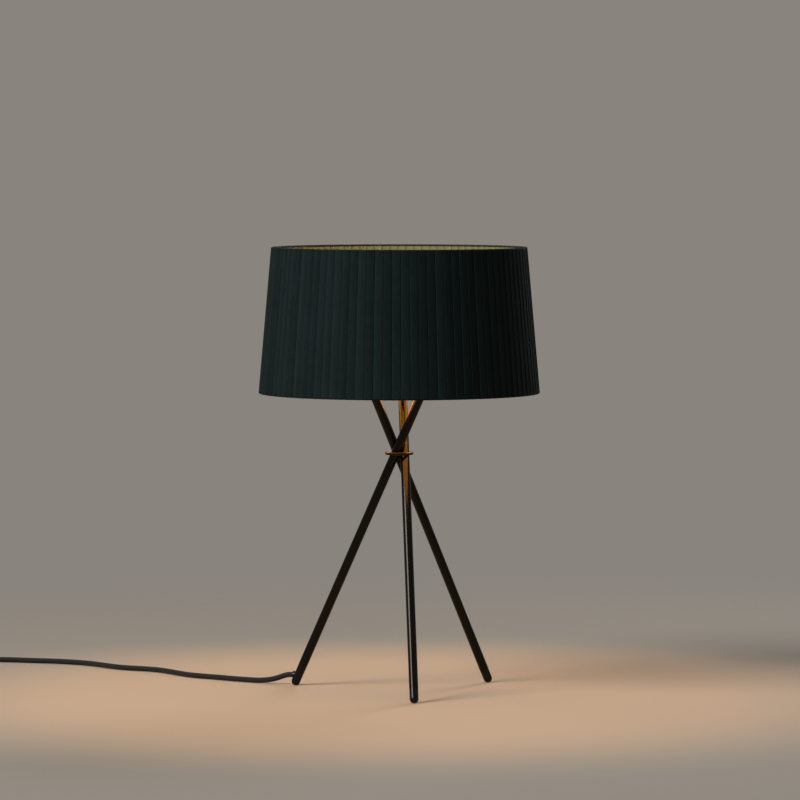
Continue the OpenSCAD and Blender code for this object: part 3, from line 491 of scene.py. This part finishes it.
# %% [markdown]
# ## Softened edges
# A moulded part has no knife edges: light catches on a small rounding. The solid model's own mesh is
# never changed, so a copy of it is merged, its flat faces are joined again, and a Bevel modifier rounds
# every edge that is sharper than 35 degrees. Weighted Normal keeps the large faces flat in the light.
# The copy then stands for the node.

# %% Softened copies of moulded parts
merge_gap = 0.002 * MM
flat_edge = math.radians(0.6)
sharp_edge = math.radians(35)


def softened(name, width, finish, body="lamp"):
    """A copy of a node with rounded edges, which rides on the node's body and replaces it."""
    mesh = node[name].data.copy()
    bm = bmesh.new()
    bm.from_mesh(mesh)
    bmesh.ops.remove_doubles(bm, verts=bm.verts, dist=merge_gap)
    bmesh.ops.dissolve_limit(bm, angle_limit=flat_edge, verts=bm.verts, edges=bm.edges)
    bm.to_mesh(mesh)
    bm.free()
    for layer in [a for a in mesh.attributes if a.name == "custom_normal"]:
        mesh.attributes.remove(layer)
    mesh.shade_smooth()
    piece = bpy.data.objects.new(f"{name}_soft", mesh)
    scene.collection.objects.link(piece)
    bevel = piece.modifiers.new("edges", "BEVEL")
    bevel.width, bevel.segments = width, 2
    bevel.limit_method, bevel.angle_limit = "ANGLE", sharp_edge
    bevel.use_clamp_overlap = False
    piece.modifiers.new("large faces stay flat", "WEIGHTED_NORMAL")
    made = as_plain_mesh(piece)
    made.materials.clear()
    made.materials.append(finish)
    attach(piece, body)
    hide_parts(name)
    return piece


soft = {
    "switch_lower": softened("switch_lower", 0.22 * MM, switch_black),
    "switch_upper": softened("switch_upper", 0.12 * MM, switch_black),
    "switch_rocker": softened("switch_rocker", 0.15 * MM, rocker_black, "rocker"),
    "coil_tie": softened("coil_tie", 0.2 * MM, tie_weave),
    "plug_body": softened("plug_body", 0.25 * MM, switch_black),
}
print("softened:", {name: len(piece.data.polygons) for name, piece in soft.items()})

# %% [markdown]
# ## The two lengths of cord
# The cord comes out of the left foot and is cut in two by the switch. Each length is one tube, swept
# along its line of points.

# %% Both cords
cord_sides = 16


def cord_piece(name, line):
    """A braided tube along a line of points."""
    dots = bpy.data.meshes.new(name)
    dots.from_pydata([tuple(p) for p in line], [], [])
    piece = run_tree(cord_tree, name, dots,
                     {"Radius": cord_d / 2, "Sides": cord_sides, "Cover": cord_textile})
    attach(piece, "lamp")
    return piece


switch_cord = cord_piece("switch_cord", switch_cord_line)
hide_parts("cord_to_switch")
plug_cord = cord_piece("plug_cord", plug_cord_line)
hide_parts("cord_to_coil", "cord_coil", "cord_to_plug")


# %% [markdown]
# ## The shade's ribbon
# The shade is covered with 96 upright strips of ribbon. Each is laid so that its left edge stands on
# the strip before it. The finish paints the shade at that step as a thin dark line, and a highlight on
# the raised edge beside it. At both rims the strips turn over the wire and end inside. One strip is made
# in mesh code from its folded line and its section. Geometry Nodes set the copies round the shade, each
# with its own tone.

# %% Shade sizes
ribbon_low, ribbon_high = (Vector(corner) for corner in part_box("shade_ribbon"))
shade_low_r = 155 * MM
shade_top_r = 141 * MM
shade_z = ribbon_low.z
shade_h = ribbon_high.z - ribbon_low.z
strips = 96
strip_pitch = 2 * math.pi / strips
first_angle = math.radians(270.9) + strip_pitch / 2
wall_t = 5.4 * MM
rim_r = 1.2 * MM


def shade_r(h):
    """The shade's outer radius at a height above its lower rim."""
    return shade_low_r + (shade_top_r - shade_low_r) * h / shade_h


print("shade", round(shade_h, 4), "m high from", round(shade_z, 4), "m up")


# %% A line that turns round the rims
def arc(centre, start, end, r=rim_r, count=5):
    """Points of an arc in the plane of depth and height, between two angles in degrees."""
    angles = [math.radians(start + (end - start) * i / count) for i in range(count + 1)]
    return [(centre[0] + r * math.cos(a), centre[1] + r * math.sin(a)) for a in angles]


def climb_line(depth, low, high, count):
    """Points straight up at one depth."""
    return [(depth, low + (high - low) * i / count) for i in range(count + 1)]


inside_lap = 2 * MM
roll_h = 2.9 * MM
roll_out = 0.16 * MM
ROLL = ((-1, 0.45), (-0.6, 0.8), (0.9, 1), (0.5, 1.2), (0, 1.6))  # shares of roll_out and roll_h
wall_rows = 12


def rim_roll(height, way):
    """The cloth swells over the rim's wire and dips just past it."""
    return [(out * roll_out, height + way * up * roll_h) for out, up in ROLL]


cover_fold = ([(wall_t, inside_lap)]
              + arc((wall_t - rim_r, rim_r), 0, -90) + arc((rim_r, rim_r), -90, -180) + rim_roll(0, 1)
              + climb_line(0, 2 * roll_h, shade_h - 2 * roll_h, wall_rows)
              + rim_roll(shade_h, -1)[::-1]
              + arc((rim_r, shade_h - rim_r), 180, 90) + arc((wall_t - rim_r, shade_h - rim_r), 90, 0)
              + [(wall_t, shade_h - inside_lap)])
print("the fold line has", len(cover_fold), "points")

# %% One strip
bead_share = 0.05
edge_rounding = 0.25


def strip_section(width, thick, step, bead, count=8):
    """Outline of a strip's section: (across, depth, slant) points, the raised left edge first."""
    top, under = [], []
    for i in range(count + 1):
        u = 0.5 - 0.5 * math.cos(math.pi * (i / count))  # from 0 to 1, with close points at both edges
        swell = bead * (math.exp(-(u / bead_share) ** 2) + math.exp(-((1 - u) / bead_share) ** 2))
        round_off = edge_rounding * thick * (u in (0.0, 1.0))
        top.append((width * (u - 0.5), round_off - swell, step * u))
        under.append((width * (u - 0.5), thick - round_off, step * u))
    return top + under[::-1]


rim_slant = 0.25
slant_run = 7 * MM


def strip_mesh(name, fold, section):
    """Sweeps a section along a fold line at azimuth 0. The strip narrows with the shade's radius, and
    lies flatter on its neighbour near the rims, where the cloth is pulled tight over the wire."""
    bm = bmesh.new()
    across = bm.verts.layers.float.new("across")
    along = bm.verts.layers.float.new("along")
    rows, run = [], 0.0
    half = max(abs(s[0]) for s in section)
    for i, (depth, height) in enumerate(fold):
        (depth_a, height_a), (depth_b, height_b) = fold[max(i - 1, 0)], fold[min(i + 1, len(fold) - 1)]
        way = Vector((shade_r(height_b) - depth_b - shade_r(height_a) + depth_a, height_b - height_a))
        way.normalize()
        x = shade_r(height) - depth
        run += 0 if i == 0 else math.dist(fold[i - 1], fold[i])
        row = []
        pull = min(1.0, max(0.0, min(height, shade_h - height)) / slant_run)
        for side, deep, slant in section:
            sink = deep + slant * (rim_slant + (1 - rim_slant) * pull)
            # the way in, square to the fold line, is its direction turned left
            vertex = bm.verts.new((x - way.y * sink, side * (x / shade_low_r),
                                   shade_z + height + way.x * sink))
            vertex[across] = side / half
            vertex[along] = run
            row.append(vertex)
        rows.append(row)
    count = len(section)
    for row, following in zip(rows, rows[1:]):
        for j in range(count):
            k = (j + 1) % count
            bm.faces.new((row[j], row[k], following[k], following[j]))
    bm.faces.new(rows[0][::-1])
    bm.faces.new(rows[-1])
    bmesh.ops.recalc_face_normals(bm, faces=bm.faces)
    for face in bm.faces:
        face.smooth = True
    mesh = bpy.data.meshes.new(name)
    bm.to_mesh(mesh)
    bm.free()
    return mesh


strip_w = strip_pitch * shade_low_r
strip_lap = 0.5 * MM
cover_section = strip_section(strip_w + strip_lap, thick=0.42 * MM, step=0.5 * MM, bead=0.06 * MM)
one_strip = strip_mesh("one_strip", cover_fold, cover_section)
print("one strip has", len(one_strip.vertices), "points")

# %% [markdown]
# The tree turns a strip about the shade's axis, once for each place. Random Value with a fixed seed
# gives every copy a tone, which is kept as an attribute that the finish can read.

# %% The tree that sets strips round the shade
strip_tree, given, result = new_tree("strips_round", [("Strips", int), ("First Angle", float),
                                                      ("Seed", int), ("Cloth", "material")])
places = add(strip_tree, "GeometryNodePoints", {"Count": given.outputs["Strips"]})
index = add(strip_tree, "GeometryNodeInputIndex").outputs[0]
pitch = calc(strip_tree, "DIVIDE", 2 * math.pi, given.outputs["Strips"])
turn = calc(strip_tree, "ADD", calc(strip_tree, "MULTIPLY", index, pitch), given.outputs["First Angle"])
turn = add(strip_tree, "ShaderNodeCombineXYZ", {"Z": turn}).outputs[0]
copies = add(strip_tree, "GeometryNodeInstanceOnPoints", {"Points": places.outputs[0],
             "Instance": given.outputs["Geometry"], "Rotation": turn})
tone = add(strip_tree, "FunctionNodeRandomValue", {"Seed": given.outputs["Seed"]}, data_type="FLOAT")
copies = add(strip_tree, "GeometryNodeStoreNamedAttribute", {"Geometry": copies.outputs[0],
             "Name": "tone", "Value": tone.outputs[1]}, data_type="FLOAT", domain="INSTANCE")
whole = add(strip_tree, "GeometryNodeRealizeInstances", {"Geometry": copies.outputs[0]})
whole = add(strip_tree, "GeometryNodeSetMaterial", {"Geometry": whole.outputs[0],
            "Material": given.outputs["Cloth"]})
strip_tree.links.new(whole.outputs[0], result.inputs[0])
print(strip_tree.name, "has", len(strip_tree.nodes), "nodes")

# %% [markdown]
# The cloth reads where a point lies across its strip, from -1 at the left edge to 1 at the right, and
# how far up it lies. Painted shade darkens the tone to the right, with a painted highlight on the raised
# left edge and a painted shadow line near the right one, and threads, patches and weft change it a
# little.

# %% Ribbon cloth
# spans across the strip of the painted shade's fall, the painted edge highlight and the painted seam
# shadow
SHADE_FALL, EDGE_HIGHLIGHT, SEAM_SHADE = (-0.95, 0.8), (-0.8, -0.93), (0.7, 0.82)


def ribbon_cloth(name, lit_tone, shaded_tone, edge_highlight, seam_shade, spread, rib, roughness):
    """Woven ribbon with painted shading: a painted highlight on its left edge, darkening to a painted
    shadow line at its right.
    """
    finish, tree, shader = new_finish(name, lit_tone, roughness, Specular_IOR_Level=0.06)
    across, along, chance = (attribute(tree, label) for label in ("across", "along", "tone"))
    bend = calc(tree, "MULTIPLY", calc(tree, "SUBTRACT", chance, 0.5), 0.5)
    shade_fall = remap(tree, calc(tree, "ADD", across, bend), *SHADE_FALL, 0.0, 1.0)
    body = blend_colours(tree, shade_fall, lit_tone, shaded_tone)
    body = blend_colours(tree, remap(tree, across, *EDGE_HIGHLIGHT, 0.0, 1.0), body, edge_highlight)
    body = blend_colours(tree, remap(tree, across, *SEAM_SHADE, 0.0, 1.0), body, seam_shade)
    threads = object_noise(tree, 0.9 * MM, 2.0, (1, 1, 0.02))
    patches = object_noise(tree, 14 * MM, 2.0, (1, 1, 0.3))
    weft = object_noise(tree, 1.0 * MM, 2.0, (0.05, 0.05, 1))
    level = weighted(tree, (chance, 0.7), (threads, 1.2), (patches, 0.7), (weft, 0.5))
    level = remap(tree, level, 0.9, 2.2, 1 - spread, 1 + spread)
    shade = add(tree, "ShaderNodeVectorMath", {0: body, "Scale": level}, operation="SCALE")
    tree.links.new(shade.outputs[0], shader.inputs["Base Color"])
    ribs = calc(tree, "SINE", calc(tree, "MULTIPLY", along, 2 * math.pi / rib))
    fuzz = object_noise(tree, 0.5 * MM, 3.0)
    tilt_shading(tree, shader, weighted(tree, (ribs, 0.5), (fuzz, 0.9)), 0.06 * MM, 0.7)
    return finish


def set_round_shade(name, strip, cloth, seed):
    """Sets a strip round the shade, once for each place."""
    return run_tree(strip_tree, name, strip,
                    {"Strips": strips, "First Angle": first_angle, "Seed": seed, "Cloth": cloth})


# the strips' colours hold a painted edge highlight and a painted seam shadow
ribbon = ribbon_cloth("ribbon", (0.0095, 0.0205, 0.0202), (0.0085, 0.0135, 0.0126),
                      edge_highlight=(0.0095, 0.0225, 0.0228), seam_shade=(0.003, 0.004, 0.0038), spread=0.3,
                      rib=0.7 * MM, roughness=0.85)
cover = set_round_shade("ribbon_cover", one_strip, ribbon, seed=7)
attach(cover, "lamp")
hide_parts("shade_ribbon")
cover_run = sum(math.dist(p, q) for p, q in zip(cover_fold, cover_fold[1:]))
print("all strips side by side:", round(strips * (strip_w + strip_lap), 3), "m by",
      round(cover_run, 4), "m")

# %% [markdown]
# ## The inside of the shade
# Seen over the front rim, the inside is a gold-toned lining with the same upright strips. It has two
# parts: a lining that lies on the back of the cover, and a band along each rim, where the ends of the
# ribbon are turned in and covered. Both use the strip and the tree again, with other fold lines.

# %% Lining and rim bands
# the gold strips also get a painted edge highlight and a painted seam shadow
lining_gold = ribbon_cloth("lining_gold", (0.36, 0.33, 0.2), (0.33, 0.3, 0.18),
                           edge_highlight=(0.38, 0.345, 0.215), seam_shade=(0.2, 0.17, 0.09), spread=0.08,
                           rib=1.1 * MM, roughness=0.55)
hem_gold = ribbon_cloth("hem_gold", (0.109, 0.12, 0.071), (0.095, 0.104, 0.06),
                        edge_highlight=(0.117, 0.129, 0.078), seam_shade=(0.05, 0.045, 0.02), spread=0.12,
                        rib=1.1 * MM, roughness=0.6)
lining_depth = 2.0 * MM
lining_end = 1.6 * MM
lining_lap = 0.2 * MM
band_h = 14 * MM
lining_rows = 6
lining_section = strip_section(strip_w + lining_lap, thick=0.3 * MM, step=0.15 * MM, bead=0.02 * MM)


def inner_strips(name, cloth, depth, low, high, seed):
    """Gold strips whose face looks at the shade's axis, so the fold line runs downwards."""
    fold = climb_line(depth, low, high, lining_rows)[::-1]
    piece = set_round_shade(name, strip_mesh(name, fold, lining_section), cloth, seed)
    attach(piece, "lamp")
    return piece


lining = inner_strips("shade_lining_strips", lining_gold, lining_depth, lining_end,
                      shade_h - lining_end, seed=11)
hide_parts("shade_lining")
inner_strips("rim_band_low", lining_gold, wall_t, inside_lap, band_h, seed=12)
inner_strips("rim_band_top", hem_gold, wall_t, shade_h - band_h, shade_h - inside_lap, seed=13)

# %% [markdown]
# ## Finishes for the solid model's own pieces
# The tubes, the ring, the holder and the small parts already have their true shapes, so they only get
# their finishes. A loop gives each node the finish of its kind and reports what is left without one.

# %% Finishes by node
FINISH = {
    leg_paint: ["leg_right", "leg_left", "leg_front"],
    ring_paint: ["binding_ring"],
    foot_rubber: ["foot_right", "foot_front", "foot_cord_outlet"],
    carrier_paint: ["carrier"],
    screw_steel: ["cup_grub_screws", "nipple", "nipple_nut", "rocker_pin", "switch_screws"],
    holder_black: ["holder_cap", "holder_shell", "ring_nut"],
    core_ceramic: ["holder_core"],
    contact_brass: ["holder_screw_shell", "holder_contact", "switch_bridge", "switch_terminals"],
    frame_white: ["shade_bottom_ring", "shade_spider", "shade_top_ring"],
    bulb_opal: ["bulb_glass", "bulb_stem"],
    cap_nickel: ["bulb_cap", "bulb_contact"],
    filament_yellow: ["bulb_filaments"],
    lead_black: ["inner_lead"],
    switch_black: ["plug_pin_sleeves"],
    boot_black: ["switch_boot_in", "switch_boot_out", "plug_boot"],
    pin_nickel: ["plug_pins"],
}
for finish, names in FINISH.items():
    for name in names:
        part = node[name]
        if part.material_slots:
            for slot in part.material_slots:
                slot.material = finish
        else:
            part.data.materials.append(finish)
replaced = {"cord_to_switch", "cord_to_coil", "cord_coil", "cord_to_plug", "shade_ribbon",
            "shade_lining", *soft}
dressed = {name for names in FINISH.values() for name in names}
print("without a finish:", sorted(set(node) - dressed - replaced))

# %% [markdown]
# ## Floor and light
# The floor is a pale disc that fades into the background at its edge, so no line shows behind the legs.
# Its colour is warm round the lamp, a painted pool of the lamp's light, and grey further out.
# The light is plain: an even world, one large soft lamp high on the left, a weak one on the right, and
# one behind that the picture's own view hardly sees, so that the other sides aren't left in the dark.

# %% Floor
floor_r, fade_from_r, fade_to_r = 1.6, 0.56, 1.568
# a pool of the lamp's light, painted into the floor's colour round the lamp
pool_middle, pool_full_r, pool_end_r = (0, -80 * MM, 0), 0.33, 0.7
painted_pool_colour, floor_grey = (0.6, 0.412, 0.27), (0.325, 0.282, 0.232)
floor_finish, tree, shader = new_finish("floor", painted_pool_colour, 0.8)
place = add(tree, "ShaderNodeTexCoord").outputs["Object"]
from_pool = add(tree, "ShaderNodeVectorMath", {0: place, 1: pool_middle}, operation="DISTANCE")
painted_pool_edge = remap(tree, from_pool.outputs["Value"], pool_full_r, pool_end_r, 0.0, 1.0)
tree.links.new(blend_colours(tree, painted_pool_edge, painted_pool_colour, floor_grey), shader.inputs["Base Color"])
far_out = add(tree, "ShaderNodeVectorMath", {0: place}, operation="LENGTH")
fade = remap(tree, far_out.outputs["Value"], fade_from_r, fade_to_r, 0.0, 1.0)
clear = add(tree, "ShaderNodeBsdfTransparent")
mix = add(tree, "ShaderNodeMixShader", {0: fade, 1: shader.outputs[0], 2: clear.outputs[0]})
tree.links.new(mix.outputs[0], tree.nodes["Material Output"].inputs["Surface"])
bm = bmesh.new()
bmesh.ops.create_circle(bm, cap_ends=True, segments=96, radius=floor_r)
disc = bpy.data.meshes.new("floor")
bm.to_mesh(disc)
bm.free()
disc.materials.append(floor_finish)
floor = bpy.data.objects.new("floor", disc)
scene.collection.objects.link(floor)
print("floor", 2 * floor_r, "m across")


# %% Soft lamps
def soft_lamp(name, place, size, watts, target=(0, 0, 0.25)):
    """A round flat lamp that looks at a target, with all lengths in metres."""
    data = bpy.data.lights.new(name, "AREA")
    data.shape = "DISK"
    data.size = size
    data.energy = watts
    lamp = bpy.data.objects.new(name, data)
    lamp.location = place
    lamp.rotation_euler = (Vector(target) - Vector(place)).to_track_quat("-Z", "Y").to_euler()
    scene.collection.objects.link(lamp)
    print(name, watts, "W")


soft_lamp("key", (-2.65, -1.9, 2.7), size=2.0, watts=140)
soft_lamp("fill", (2.6, -1.6, 1.4), size=1.6, watts=1)
soft_lamp("back", (1.5, 2.9, 2.3), size=1.6, watts=45)

# %% [markdown]
# The lining round the bulb is far brighter in life than a picture can show, and the gloss paint of the
# legs mirrors it as orange streaks. Twelve narrow flat lamps stand before the lining and lean with it.
# Light linking lets only the legs and the ring see them, and only in gloss, so they add the streaks and
# nothing else.

# %% Lamps that only gloss paint can see
gloss_paint = bpy.data.collections.new("gloss_paint")
for name in ("leg_right", "leg_left", "leg_front", "binding_ring"):
    gloss_paint.objects.link(node[name])
sheets, sheet_wide, sheet_high, sheet_glow = 12, 60 * MM, 156 * MM, 13.0
sheet_colour = (1.0, 0.36, 0.05)
before_lining = 13 * MM
sheet_r = (shade_low_r + shade_top_r) / 2 - before_lining
cone_lean = math.atan2(shade_low_r - shade_top_r, shade_h)
for k in range(sheets):
    turn = 2 * math.pi * (k + 0.5) / sheets
    outward = Vector((math.cos(turn), math.sin(turn), 0))
    facing = outward * -math.cos(cone_lean) + Vector((0, 0, -math.sin(cone_lean)))
    data = bpy.data.lights.new(f"lining_glow_{k}", "AREA")
    data.shape = "RECTANGLE"
    data.size, data.size_y = sheet_wide, sheet_high
    data.color = sheet_colour
    data.energy = sheet_glow * math.pi * sheet_wide * sheet_high
    lamp = bpy.data.objects.new(data.name, data)
    lamp.location = outward * sheet_r + Vector((0, 0, shade_z + shade_h / 2))
    lamp.rotation_euler = facing.to_track_quat("-Z", "Y").to_euler()
    lamp.light_linking.receiver_collection = gloss_paint
    lamp.visible_camera = False
    lamp.visible_diffuse = False
    lamp.visible_transmission = False
    scene.collection.objects.link(lamp)
print(sheets, "lamps before the lining")

# %% [markdown]
# The world lights everything evenly. Rays that come straight from the camera, or by way of gloss or
# glass, see the grey of a wall instead, so the background can be darker than the light is strong.

# %% World
world = bpy.data.worlds.new("studio")
scene.world = world
world.use_nodes = True
tree = world.node_tree
background = tree.nodes["Background"]
seen = add(tree, "ShaderNodeLightPath")
straight = calc(tree, "MAXIMUM", seen.outputs["Is Camera Ray"], seen.outputs["Is Glossy Ray"])
straight = calc(tree, "MAXIMUM", straight, seen.outputs["Is Transmission Ray"])
world_level = 0.15
world_light = scaled((1.0, 0.985, 0.96), world_level)
wall_colour = (0.25, 0.231, 0.209)
tree.links.new(blend_colours(tree, straight, world_light, wall_colour), background.inputs["Color"])
background.inputs["Strength"].default_value = 1.0
scene.view_settings.view_transform = "Standard"
print("world level", world_level)
